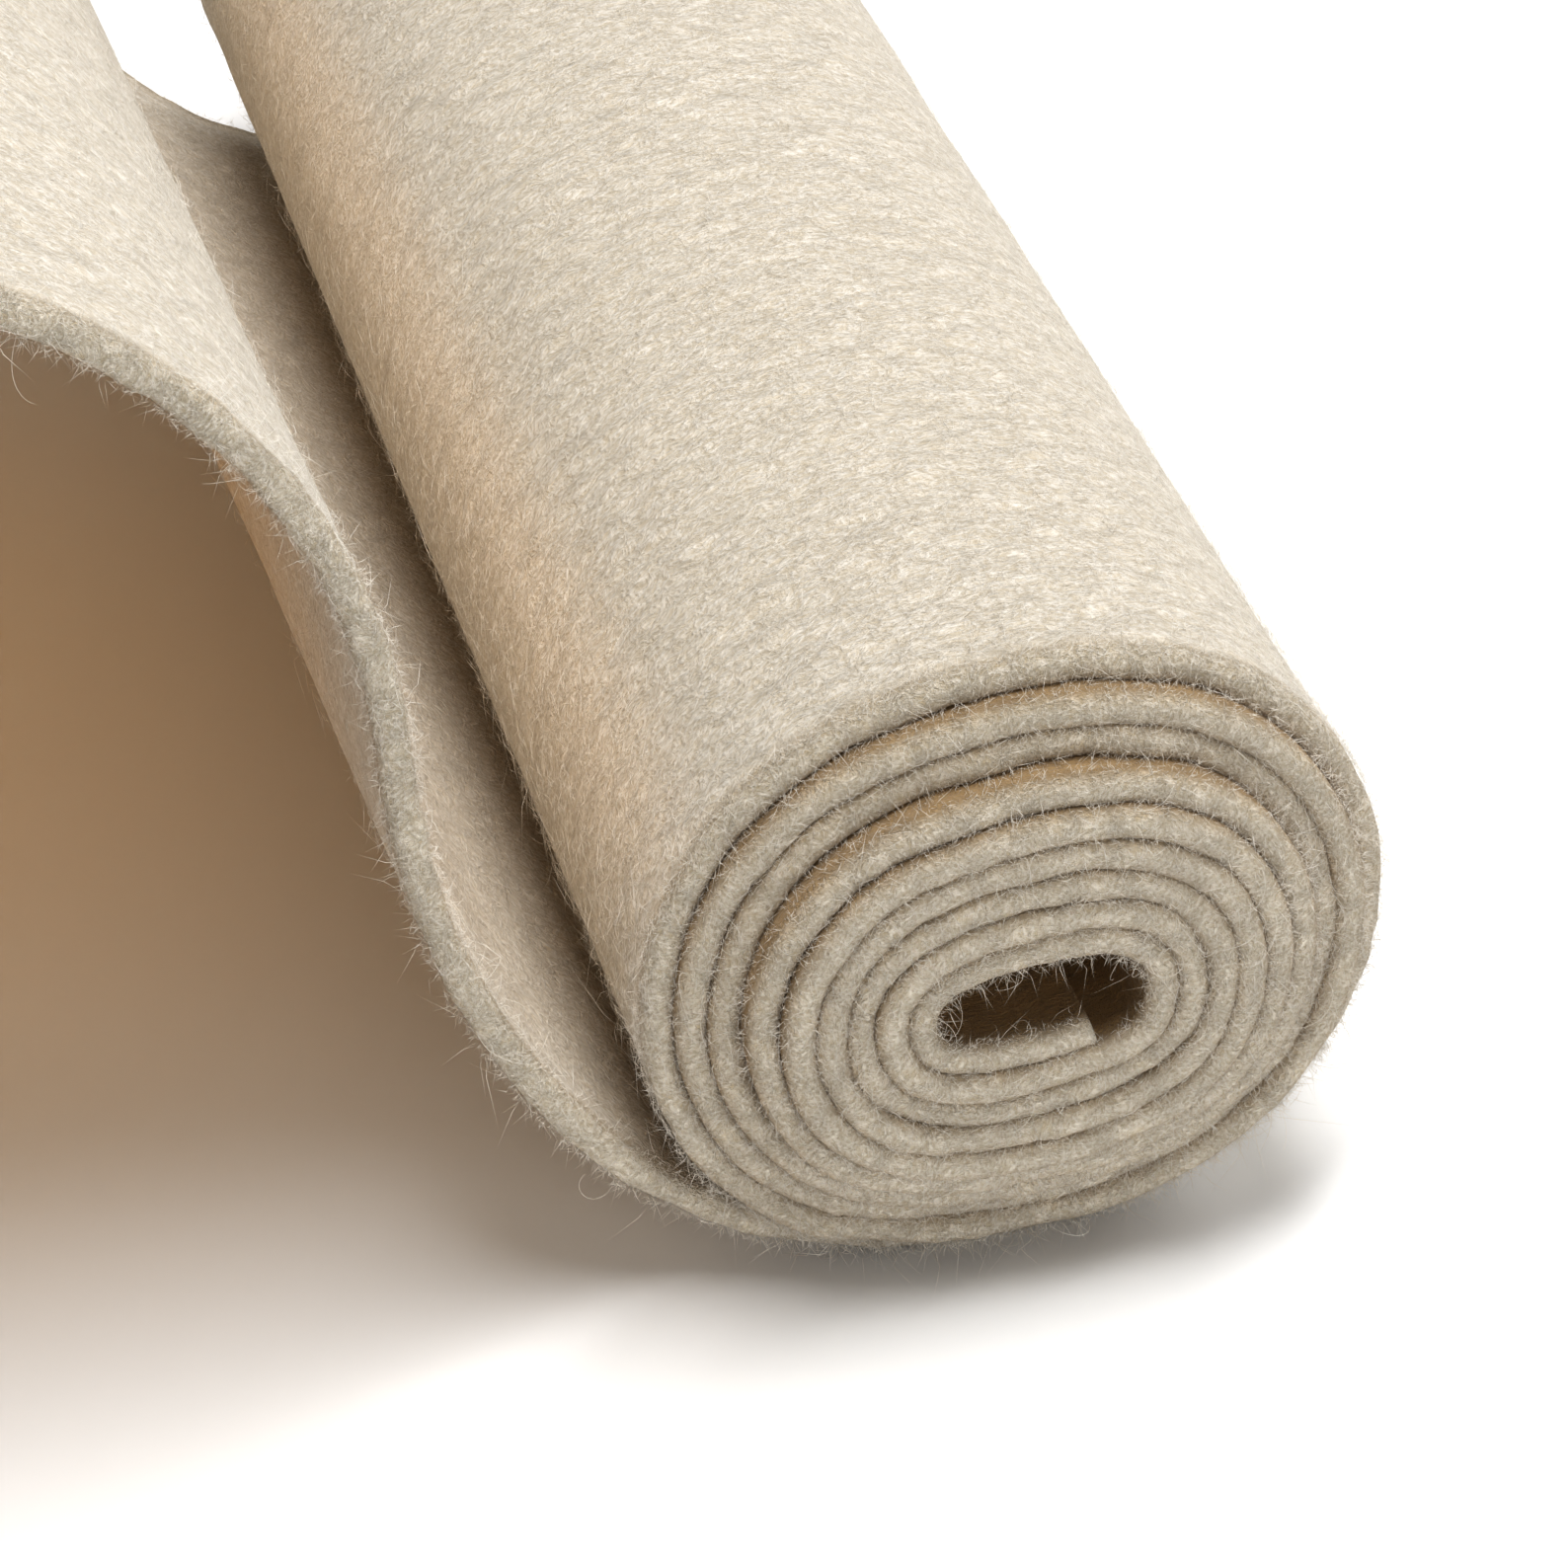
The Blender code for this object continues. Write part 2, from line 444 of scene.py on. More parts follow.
def strip_line(strip):
    """The strip's middle line at its near and far edge, in the frame, from the inner end out.

    Gives near and far points (x, z), the length along, the place (y) of the near edge, and how
    far the outer face shows there beside the next turn.
    """
    outline = last_turn(strip)
    raise_by = -outline[:, 1].min() - strip.flat_depth
    roll_x = ROLL_HIGH.x - outline[:, 0].max()
    turns = np.linspace(strip.first_turn, strip.turns - 0.03, WINDING_PLACES)
    wound = winding(strip, turns)
    wound[:, 1] += raise_by
    uneven = wobble(turns, 0.23, 3) + 0.6 * wobble(turns, 0.09, 4)
    centre = np.array([0.0, raise_by])
    away = wound - centre
    away /= np.linalg.norm(away, axis=1)[:, None]
    fade = np.clip(strip.turns - UNEVEN_FADE - turns, 0, 1)
    wound += away * (uneven * fade * UNEVEN)[:, None]
    wound = settled(wound)
    wound_length = lengths_along(wound)[-1]
    count = int((wound_length + strip.loose_length) / DENSE_STEP)
    lines = []
    for share in (0.0, 1.0):
        whole = resampled(np.concatenate([wound, loose_end(strip, share)]), count)
        along = np.arange(count) * DENSE_STEP
        eased = smoothed(whole, EASE_STEPS)
        mix = np.clip((along - wound_length + EASE_BEFORE) / EASE_LENGTH, 0, 1)[:, None]
        line = whole * (1 - mix) + eased * mix
        lines.append(line + np.array([roll_x, 0.0]))
    along = lengths_along(lines[0])
    turn_at = np.interp(along, np.linspace(0, wound_length, WINDING_PLACES),
                        turns_by_length(wound, turns))
    turn_at = np.where(along > wound_length, strip.turns, turn_at)
    steps = np.clip(strip.turns - np.maximum(turn_at, strip.set_back_from), 0, None)
    outer_edge = ROLL_LOW.y + strip.set_back * (strip.turns - strip.set_back_from)
    wander = np.interp(turn_at, *np.array(WANDER_MM).T) * MM
    edge = outer_edge - strip.set_back * steps + smoothed(wander[:, None], WANDER_STEPS)[:, 0]
    outside = np.interp(np.minimum(turn_at + 1, strip.turns), turn_at, edge)
    shown = np.where(turn_at < strip.turns - 1, np.clip(outside - edge, 0, SHOWN_MOST), 0)
    return {"near": lines[0], "far": lines[1], "along": along, "edge": edge, "shown": shown,
            "swell": swelling(strip, lines[0], along, wound_length), "wound": wound_length}


def swelling(strip, points, along, wound_length):
    """How many times its usual thickness the felt is, because it fills the space between turns."""
    step = np.gradient(points, axis=0)
    across, upwards = (step / np.linalg.norm(step, axis=1)[:, None]).T
    space = strip.pitch * np.hypot(upwards, across * strip.tallness) - TURN_GAP
    wound_share = np.clip((wound_length - along) / SWELL_FADE, 0, 1)
    return 1 + (space / strip.thickness - 1) * wound_share


def turns_by_length(points, turns):
    """Turn count at evenly spaced lengths along the winding."""
    length = lengths_along(points)
    return np.interp(np.linspace(0, length[-1], len(turns)), length, turns)


def on_strip(strip, line, along, across, offset):
    """Points on the strip, with the direction along it and the outward normal.

    across runs from 0 at the near edge to the strip's width; offset is outwards from the middle.
    """
    share = (across / strip.width)[:, None]

    def place(at):
        near = np.stack([np.interp(at, line["along"], c) for c in line["near"].T], axis=1)
        far = np.stack([np.interp(at, line["along"], c) for c in line["far"].T], axis=1)
        return near * (1 - share) + far * share

    reach = DENSE_STEP
    here, ahead, behind = place(along), place(along + reach), place(along - reach)
    forward = ahead - behind
    forward /= np.linalg.norm(forward, axis=1)[:, None]
    outward = np.stack([-forward[:, 1], forward[:, 0]], axis=1)
    swell = np.interp(along, line["along"], line["swell"])
    from_edge = np.minimum(across, strip.width - across)
    fluff = strip.edge_fluff * np.clip(1 - from_edge / FLUFF_REACH, 0, 1)
    offset = offset * (swell + 2 * fluff / strip.thickness)
    spot = here + outward * offset[:, None]
    y = np.interp(along, line["along"], line["edge"]) + across
    zero = np.zeros(len(along))
    return (np.stack([spot[:, 0], y, spot[:, 1]], axis=1),
            np.stack([forward[:, 0], zero, forward[:, 1]], axis=1),
            np.stack([outward[:, 0], zero, outward[:, 1]], axis=1))


# ---- meshes


def mesh_object(name, points, faces):
    """A new object with a mesh in place, its own mesh data and smooth shading."""
    mesh = bpy.data.meshes.new(name)
    mesh.from_pydata(points.tolist(), [], faces)
    mesh.shade_smooth()
    obj = bpy.data.objects.new(name, mesh)
    bpy.context.collection.objects.link(obj)
    return obj


def rounding(strip, swing):
    """Offsets and depths on the rounded cut edge: swing turns from one face to the other."""
    offset = strip.thickness / 2 * np.sign(swing) * np.abs(np.sin(swing)) ** EDGE_FULLNESS
    depth = strip.edge_rounding * (1 - np.cos(swing) ** EDGE_BLUNTNESS)
    return offset, depth


def edge_profile(strip):
    """The rounded cut edge from the inner face to the outer one: offsets and depths."""
    return rounding(strip, np.radians(np.linspace(-90, 90, ROUNDING_POINTS)))


def edge_wobble(strip, along):
    """How far the cut wanders at a length along the strip."""
    return strip.edge_wobble * (wobble(along, 0.011, 21) + 0.6 * wobble(along, 0.0035, 22))


def face_stations(strip):
    """Places across a face, close together near the cut edges and wide apart in the middle."""
    places, step = [], FACE_STEP
    at = strip.edge_rounding + step
    while at < strip.width / 2 - step / 2:
        places.append(at)
        step = min(step * FACE_STEP_GROWTH, FACE_STEP_WIDEST)
        at += step
    near = np.array(places)
    return np.concatenate([near, [strip.width / 2], strip.width - near[::-1]])


def section_ring(strip):
    """Offsets and places across of one closed section of the strip."""
    offset, depth = edge_profile(strip)
    stations = face_stations(strip)
    half = strip.thickness / 2
    flat = np.full(len(stations), half)
    offsets = np.concatenate([offset, flat, offset[::-1], -flat])
    across = np.concatenate([depth, stations, strip.width - depth[::-1], stations[::-1]])
    return offsets, across


def row_places(line):
    """Lengths along the strip where its mesh has a section."""
    total = line["along"][-1]
    places = [0.0]
    while places[-1] < total:
        share = min(places[-1] / FINE_TURNS_LENGTH, 1.0)
        places.append(places[-1] + INNER_STEP + (OUTER_STEP - INNER_STEP) * share)
    return np.array(places[:-1] + [total])


def strip_mesh(strip, line):
    """The whole strip as one closed mesh, with a UV map in millimetres."""
    offsets, across = section_ring(strip)
    rows = row_places(line)
    ring = len(offsets)
    along = np.repeat(rows, ring)
    flat_across = np.tile(across, len(rows))
    side = np.tile(offsets, len(rows))
    outer = np.where(side > 0, 1.0, -1.0)
    puff = surface_wobble(along, flat_across, 0.006, 11) + 0.7 * surface_wobble(
        along, flat_across, 0.014, 12)
    freely = np.clip((along - line["wound"] + LOFT_FREE_LENGTH) / LOFT_FADE, LOFT_HELD, 1)
    side = side + outer * strip.loft * puff * freely
    near_share = np.clip(1 - flat_across / RAGGED_REACH, 0, 1)
    far_share = np.clip(1 - (strip.width - flat_across) / RAGGED_REACH, 0, 1)
    flat_across = flat_across + edge_wobble(strip, along) * (near_share + far_share)
    points, _, _ = on_strip(strip, line, along, flat_across, side)
    points[:, 2] = np.maximum(points[:, 2], 0.0)
    first = np.arange(len(rows) - 1)[:, None] * ring + np.arange(ring)
    following = np.arange(len(rows) - 1)[:, None] * ring + (np.arange(ring) + 1) % ring
    quads = np.stack([first, first + ring, following + ring, following], axis=2).reshape(-1, 4)
    faces = quads.tolist()
    faces.append(list(range(ring)))
    faces.append(list(range(len(points) - ring, len(points)))[::-1])
    obj = mesh_object("felt_strip", points, faces)
    set_shade(obj, strip, line, rows, offsets, across)
    gaps = np.hypot(np.diff(across, append=across[0]), np.diff(offsets, append=offsets[0]))
    around = np.concatenate([[0.0], np.cumsum(gaps)])
    set_uv(obj, rows, around, offsets, across)
    return obj


def set_shade(obj, strip, line, rows, offsets, across):
    """Point attributes: cut is 1 on a cut edge, and the groove-shade mask is 1 deep between two turns,
    where shade is painted.
    """
    from_edge = np.minimum(across, strip.width - across)
    cut = np.clip(1 - (from_edge - strip.edge_rounding) / CUT_FADE, 0, 1)
    beside = np.clip(from_edge / strip.edge_rounding, 0, 1) ** GROOVE_SHADE_POWER
    last = line["wound"] - 2 * math.pi * strip.pitch * strip.turns
    outside = np.where(offsets > 0, rows[:, None] > last, rows[:, None] > line["wound"])
    open_side = np.clip(1 - (from_edge - strip.edge_rounding) / CUT_FADE, 0, 1) * GROOVE_SHADE_OPEN
    # Painted shade: full deep between turns, and a share of it near the cut on an open outer face
    painted_groove_shade = np.where(outside, beside * open_side, beside)
    for name, values in (("cut", np.tile(cut, len(rows))), ("painted_groove_shade", painted_groove_shade.ravel())):
        attribute = obj.data.attributes.new(name, "FLOAT", "POINT")
        attribute.data.foreach_set("value", values.astype(np.float32))


def set_uv(obj, rows, around, offsets, across):
    """UV map in millimetres: along the strip and round its section, and flat on its two ends."""
    bands, ring = len(rows) - 1, len(offsets)
    u0 = np.repeat(rows[:-1], ring)
    u1 = np.repeat(rows[1:], ring)
    v0 = np.tile(around[:-1], bands)
    v1 = np.tile(around[1:], bands)
    quads = np.stack([u0, v0, u1, v0, u1, v1, u0, v1], axis=1).reshape(-1, 2)
    end = np.stack([offsets, across], axis=1)
    corners = np.concatenate([quads, end, end[::-1]]) / MM
    layer = obj.data.uv_layers.new(name="FeltMM")
    layer.uv.foreach_set("vector", corners.astype(np.float32).ravel())


def unit(vectors):
    """The vectors at length 1."""
    return vectors / np.maximum(np.linalg.norm(vectors, axis=-1, keepdims=True), 1e-9)


def bent_fibres(roots, heads, bends, lengths, segments):
    """Centre lines of bent fibres: (segments + 1, count, 3)."""
    share = np.linspace(0, 1, segments + 1)[:, None, None]
    reach = lengths[None, :, None]
    centres = roots[None] + reach * (heads[None] * share + bends[None] * share ** 2)
    centres[..., 2] = np.maximum(centres[..., 2], FIBRE_CLEARANCE)
    return centres


def fibre_object(name, centres, radii):
    """All the fibres as one mesh: each a closed three-sided tube with pointed ends."""
    rings, count = centres.shape[0] - 2, centres.shape[1]
    heading = unit(centres[2:] - centres[:-2])
    helper = np.where(np.abs(heading[0][:, 2:3]) < 0.8, [[0.0, 0.0, 1.0]], [[1.0, 0.0, 0.0]])
    corners = []
    for ring in range(rings):
        sideways = unit(np.cross(heading[ring], helper))
        upwards = np.cross(heading[ring], sideways)
        taper = radii * (1.0 - 0.45 * ring / max(rings - 1, 1))
        for corner in range(3):
            swing = 2 * math.pi * corner / 3
            side = sideways * math.cos(swing) + upwards * math.sin(swing)
            corners.append(centres[ring + 1] + side * taper[:, None])
    points = np.stack([centres[0], *corners, centres[-1]], axis=1).reshape(-1, 3)
    stride = 2 + 3 * rings
    tip = stride - 1
    last = 1 + 3 * (rings - 1)
    triangles, quads = [], []
    for corner in range(3):
        after = (corner + 1) % 3
        triangles.append((0, 1 + after, 1 + corner))
        triangles.append((tip, last + corner, last + after))
        for ring in range(rings - 1):
            base = 1 + 3 * ring
            quads.append((base + corner, base + after, base + 3 + after, base + 3 + corner))
    shift = (np.arange(count) * stride)[:, None, None]
    faces = (np.array(triangles)[None] + shift).reshape(-1, 3).tolist()
    if quads:
        faces += (np.array(quads)[None] + shift).reshape(-1, 4).tolist()
    return mesh_object(name, points, faces)


# ---- materials


def linear(text):
    """Linear colour with alpha from an sRGB hex value."""
    parts = [int(text[i:i + 2], 16) / 255 for i in (1, 3, 5)]
    return [c / 12.92 if c <= 0.04045 else ((c + 0.055) / 1.055) ** 2.4 for c in parts] + [1.0]


def add_node(tree, kind, settings=(), links=()):
    """Adds a node. Settings are property or input names with values; links are inputs with sockets."""
    node = tree.nodes.new(kind)
    for key, value in dict(settings).items():
        if hasattr(node, key):
            setattr(node, key, value)
        else:
            node.inputs[key].default_value = value
    for key, socket in dict(links).items():
        tree.links.new(socket, node.inputs[key])
    return node


def new_material(name):
    """A new material with its node tree and its shader."""
    material = bpy.data.materials.new(name)
    material.use_nodes = True
    return material, material.node_tree, material.node_tree.nodes["Principled BSDF"]


def wool_felt(colours):
    """Pressed undyed wool: matt, with fibres lying all ways, and a warm shade painted deep between two
    turns.
    """
    material, tree, shader = new_material("wool_felt")
    place = add_node(tree, "ShaderNodeTexCoord")
    drift = add_node(tree, "ShaderNodeTexNoise", {"Scale": 0.25, "Detail": 1.0},
                     {"Vector": place.outputs["UV"]})
    centred = add_node(tree, "ShaderNodeVectorMath", {"operation": "SUBTRACT"},
                       {0: drift.outputs["Color"]})
    centred.inputs[1].default_value = (0.5, 0.5, 0.5)
    pulled = add_node(tree, "ShaderNodeVectorMath", {"operation": "SCALE", "Scale": 2.5},
                      {0: centred.outputs["Vector"]})
    bent = add_node(tree, "ShaderNodeVectorMath", {"operation": "ADD"},
                    {0: place.outputs["UV"], 1: pulled.outputs["Vector"]})
    total = None
    for degrees, along_mm, between_mm in FIBRE_LAYS:
        turned = add_node(tree, "ShaderNodeMapping",
                          {"Rotation": (0, 0, math.radians(degrees)),
                           "Scale": (1 / along_mm, 1 / between_mm, 1.0)},
                          {"Vector": bent.outputs["Vector"]})
        strands = add_node(tree, "ShaderNodeTexNoise",
                           {"noise_dimensions": "2D", "Scale": 1.0, "Detail": 1.0},
                           {"Vector": turned.outputs["Vector"]})
        ridge = add_node(tree, "ShaderNodeMath", {"operation": "PINGPONG"},
                         {0: strands.outputs["Fac"]})
        ridge.inputs[1].default_value = 0.5
        line = add_node(tree, "ShaderNodeMapRange",
                        {"From Min": 0.42, "From Max": 0.5, "interpolation_type": "SMOOTHSTEP"},
                        {"Value": ridge.outputs["Value"]})
        if total is None:
            total = line
        else:
            total = add_node(tree, "ShaderNodeMath", {"operation": "ADD"},
                             {0: total.outputs[0], 1: line.outputs[0]})
    share = add_node(tree, "ShaderNodeMath", {"operation": "MULTIPLY"}, {0: total.outputs[0]})
    share.inputs[1].default_value = LAY_RELIEF / len(FIBRE_LAYS)
    nap = add_node(tree, "ShaderNodeTexNoise", {"Scale": 1.6, "Detail": 3.0, "Roughness": 0.65},
                   {"Vector": bent.outputs["Vector"]})
    mottle = add_node(tree, "ShaderNodeTexNoise", {"Scale": 260.0, "Detail": 1.0},
                      {"Vector": place.outputs["Object"]})
    depth = add_node(tree, "ShaderNodeMath", {"operation": "MULTIPLY_ADD"},
                     {0: nap.outputs["Fac"], 2: share.outputs[0]})
    depth.inputs[1].default_value = NAP_RELIEF
    shade = add_node(tree, "ShaderNodeMapRange", {"From Min": 0.68, "From Max": 1.18},
                     {"Value": depth.outputs[0]})
    tone = add_node(tree, "ShaderNodeMix", {"data_type": "RGBA"},
                    {"Factor": shade.outputs[0]})
    tone.inputs[6].default_value = linear(colours.felt_deep)
    tone.inputs[7].default_value = linear(colours.felt)
    grit = add_node(tree, "ShaderNodeTexNoise",
                    {"Scale": 1 / CUT_GRAIN_MM, "Detail": 3.0, "Roughness": 0.7},
                    {"Vector": bent.outputs["Vector"]})
    fleck = add_node(tree, "ShaderNodeMapRange", {"From Min": 0.34, "From Max": 0.62},
                     {"Value": grit.outputs["Fac"]})
    # Cut edges: inner wool, painted lighter to stand in for light on the near end's faces, with shade
    # painted between its fibres
    cut_tone = add_node(tree, "ShaderNodeMix", {"data_type": "RGBA"},
                        {"Factor": fleck.outputs[0]})
    cut_tone.inputs[6].default_value = linear(colours.cut_deep)
    cut_tone.inputs[7].default_value = linear(colours.cut)
    on_cut = add_node(tree, "ShaderNodeAttribute", {"attribute_name": "cut"})
    face = add_node(tree, "ShaderNodeMix", {"data_type": "RGBA"}, {"Factor": on_cut.outputs["Fac"]})
    tree.links.new(tone.outputs[2], face.inputs[6])
    tree.links.new(cut_tone.outputs[2], face.inputs[7])
    # Painted shade: the groove-shade mask mixes a warm brown into the colour deep between turns
    in_groove_shade = add_node(tree, "ShaderNodeAttribute", {"attribute_name": "painted_groove_shade"})
    sunk = add_node(tree, "ShaderNodeMath", {"operation": "MULTIPLY"},
                    {0: in_groove_shade.outputs["Fac"]})
    sunk.inputs[1].default_value = GROOVE_SHADE_MOST
    whole = add_node(tree, "ShaderNodeMix", {"data_type": "RGBA"}, {"Factor": sunk.outputs[0]})
    tree.links.new(face.outputs[2], whole.inputs[6])
    whole.inputs[7].default_value = linear(colours.painted_groove_shade)
    patch = add_node(tree, "ShaderNodeMapRange",
                     {"From Min": 0.3, "From Max": 0.7, "To Min": 0.965, "To Max": 1.02},
                     {"Value": mottle.outputs["Fac"]})
    colour = add_node(tree, "ShaderNodeVectorMath", {"operation": "SCALE"},
                      {0: whole.outputs[2], "Scale": patch.outputs[0]})
    tree.links.new(colour.outputs["Vector"], shader.inputs["Base Color"])
    relief = add_node(tree, "ShaderNodeMath", {"operation": "MULTIPLY_ADD"},
                      {0: fleck.outputs[0], 1: on_cut.outputs["Fac"], 2: depth.outputs[0]})
    bump = add_node(tree, "ShaderNodeBump", {"Strength": 0.9, "Distance": 0.00035},
                    {"Height": relief.outputs[0]})
    tree.links.new(bump.outputs["Normal"], shader.inputs["Normal"])
    finish_wool(shader)
    return material


def finish_wool(shader):
    """Wool keratin: IOR about 1.55, no gloss to speak of, and a soft sheen at grazing angles."""
    shader.inputs["Roughness"].default_value = 0.92
    shader.inputs["IOR"].default_value = 1.55
    shader.inputs["Specular IOR Level"].default_value = 0.25
    shader.inputs["Sheen Weight"].default_value = 0.25
    shader.inputs["Sheen Roughness"].default_value = 0.5


def wool_fibre(colours):
    """Single wool fibres that stand off the felt: paler than the felt, with a slight gloss."""
    material, tree, shader = new_material("wool_fibre")
    place = add_node(tree, "ShaderNodeTexCoord")
    vary = add_node(tree, "ShaderNodeTexNoise", {"Scale": 700.0, "Detail": 1.0},
                    {"Vector": place.outputs["Object"]})
    tone = add_node(tree, "ShaderNodeMix", {"data_type": "RGBA"}, {"Factor": vary.outputs["Fac"]})
    tone.inputs[6].default_value = linear(colours.felt)
    tone.inputs[7].default_value = linear(colours.fibre)
    tree.links.new(tone.outputs[2], shader.inputs["Base Color"])
    finish_wool(shader)
    shader.inputs["Roughness"].default_value = 0.6
    return material


def fibre_material(colours):
    """The fibres' material, made once and then shared."""
    return bpy.data.materials.get("wool_fibre") or wool_fibre(colours)


# ---- operators


def dress(obj, material):
    """Material, slot and ride of a finished piece."""
    obj.data.materials.append(material)
    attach(obj, "root")


class FELT_OT_wind_strip(bpy.types.Operator):
    """Make the wound strip of felt with its loose end"""
    bl_idname = "felt.wind_strip"
    bl_label = "Wind the strip"

    def execute(self, context):
        strip = context.scene.felt_strip
        line = strip_line(strip)
        obj = strip_mesh(strip, line)
        dress(obj, wool_felt(context.scene.felt_colours))
        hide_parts("felt_roll")
        return {"FINISHED"}


class FELT_OT_raise_edge_fibres(bpy.types.Operator):
    """Raise short fibres on the strip's two cut edges"""
    bl_idname = "felt.raise_edge_fibres"
    bl_label = "Raise the edge fibres"

    def execute(self, context):
        scene = context.scene
        strip, fibres = scene.felt_strip, scene.felt_fibres
        line = strip_line(strip)
        material = fibre_material(scene.felt_colours)
        total = line["along"][-1]
        inner, middle = total * 0.33, total * 0.66
        cuts = (
            ("near_edge_fibres_inner", 0.0, inner, 1, fibres.edge_count // 3),
            ("near_edge_fibres_middle", inner, middle, 1, fibres.edge_count // 3),
            ("near_edge_fibres_outer", middle, total, 1, fibres.edge_count // 3),
            ("far_edge_fibres", 0.0, total, -1, fibres.far_edge_count),
        )
        for index, (name, start, end, near, count) in enumerate(cuts):
            draw = np.random.default_rng(fibres.seed + index)
            obj = self.fibres(strip, fibres, line, draw, name, start, end, near, count)
            dress(obj, material)
        return {"FINISHED"}

    def fibres(self, strip, fibres, line, draw, name, start, end, near, count):
        """Fibres on one cut edge between two lengths: near is 1 for the near edge, -1 for the far."""
        along = draw.uniform(start + 0.0005, end - 0.0005, count)
        swing = draw.uniform(-1.0, 1.0, count)
        swing = EDGE_SWING * np.sign(swing) * np.abs(swing) ** EDGE_CROWDING
        offset, depth = rounding(strip, swing)
        depth = depth + ROOT_DEPTH
        shown = np.interp(along, line["along"], line["shown"])
        aside = (draw.uniform(0, 1, count) < SHOWN_SHARE) & (shown > 0.0003) & (near > 0)
        swing = np.where(aside, EDGE_SWING, swing)
        offset = np.where(aside, strip.thickness / 2, offset)
        depth = np.where(aside, strip.edge_rounding + shown * draw.uniform(0, 1, count), depth)
        ragged = edge_wobble(strip, along)
        across = depth if near > 0 else strip.width - depth
        roots, _, outward = on_strip(strip, line, along, across + ragged, offset)
        out_of_edge = np.tile([0.0, -float(near), 0.0], (count, 1))
        normal = unit(out_of_edge * np.cos(swing)[:, None] + outward * np.sin(swing)[:, None])
        heads = unit(normal * EDGE_LEAN + draw.normal(0, EDGE_SPREAD, (count, 3)))
        inward = (heads * normal).sum(1) < 0.15
        heads[inward] = unit(heads[inward] + normal[inward] * 0.9)
        bends = draw.normal(0, EDGE_BEND, (count, 3))
        lengths = fibres.edge_length * draw.lognormal(-0.15, 0.55, count)
        lengths = np.minimum(lengths, EDGE_LONGEST)
        centres = bent_fibres(roots, heads, bends, lengths, SHORT_SEGMENTS)
        return fibre_object(name, centres, fibres.radius * draw.uniform(0.7, 1.3, count))


class FELT_OT_lay_surface_fibres(bpy.types.Operator):
    """Lay single fibres over the roll's outside and both faces of the loose end"""
    bl_idname = "felt.lay_surface_fibres"
    bl_label = "Lay the surface fibres"

    def execute(self, context):
        scene = context.scene
        strip, fibres = scene.felt_strip, scene.felt_fibres
        line = strip_line(strip)
        material = fibre_material(scene.felt_colours)
        total, wound = line["along"][-1], line["wound"]
        spreads = (
            ("roll_fibres", wound - ROLL_FACE_LENGTH, wound, 1, 0.62),
            ("loose_fibres_upper", wound, total, -1, 0.22),
            ("loose_fibres_lower", wound, total, 1, 0.16),
        )
        for index, (name, start, end, side, share) in enumerate(spreads):
            draw = np.random.default_rng(fibres.seed + 10 + index)
            count = int(fibres.face_count * share)
            along = draw.uniform(start, end, count)
            across = strip.width * draw.beta(0.8, 1.7, count)
            offset = np.full(count, side * (strip.thickness / 2 - ROOT_DEPTH / 5))
            roots, forward, outward = on_strip(strip, line, along, across, offset)
            normal = outward * side
            turn = draw.uniform(0, 2 * math.pi, count)[:, None]
            flat = forward * np.cos(turn) + np.array([[0.0, 1.0, 0.0]]) * np.sin(turn)
            upright = draw.uniform(0, 1, count) < UPRIGHT_SHARE
            lift = np.where(upright, draw.uniform(0.8, 2.5, count), draw.uniform(0.1, 0.5, count))
            heads = unit(flat + normal * lift[:, None])
            aside = np.cross(flat, normal)
            droop = np.where(upright, 0.2, draw.uniform(0.0, 0.35, count))
            bends = (aside * draw.normal(0, 0.6, count)[:, None] - normal * droop[:, None])
            lengths = fibres.face_length * draw.lognormal(-0.1, 0.6, count)
            lengths = np.minimum(lengths, np.where(upright, UPRIGHT_LONGEST, FACE_LONGEST))
            centres = bent_fibres(roots, heads, bends, lengths, SHORT_SEGMENTS)
            radii = fibres.radius * draw.uniform(0.6, 1.1, count)
            dress(fibre_object(name, centres, radii), material)
        return {"FINISHED"}


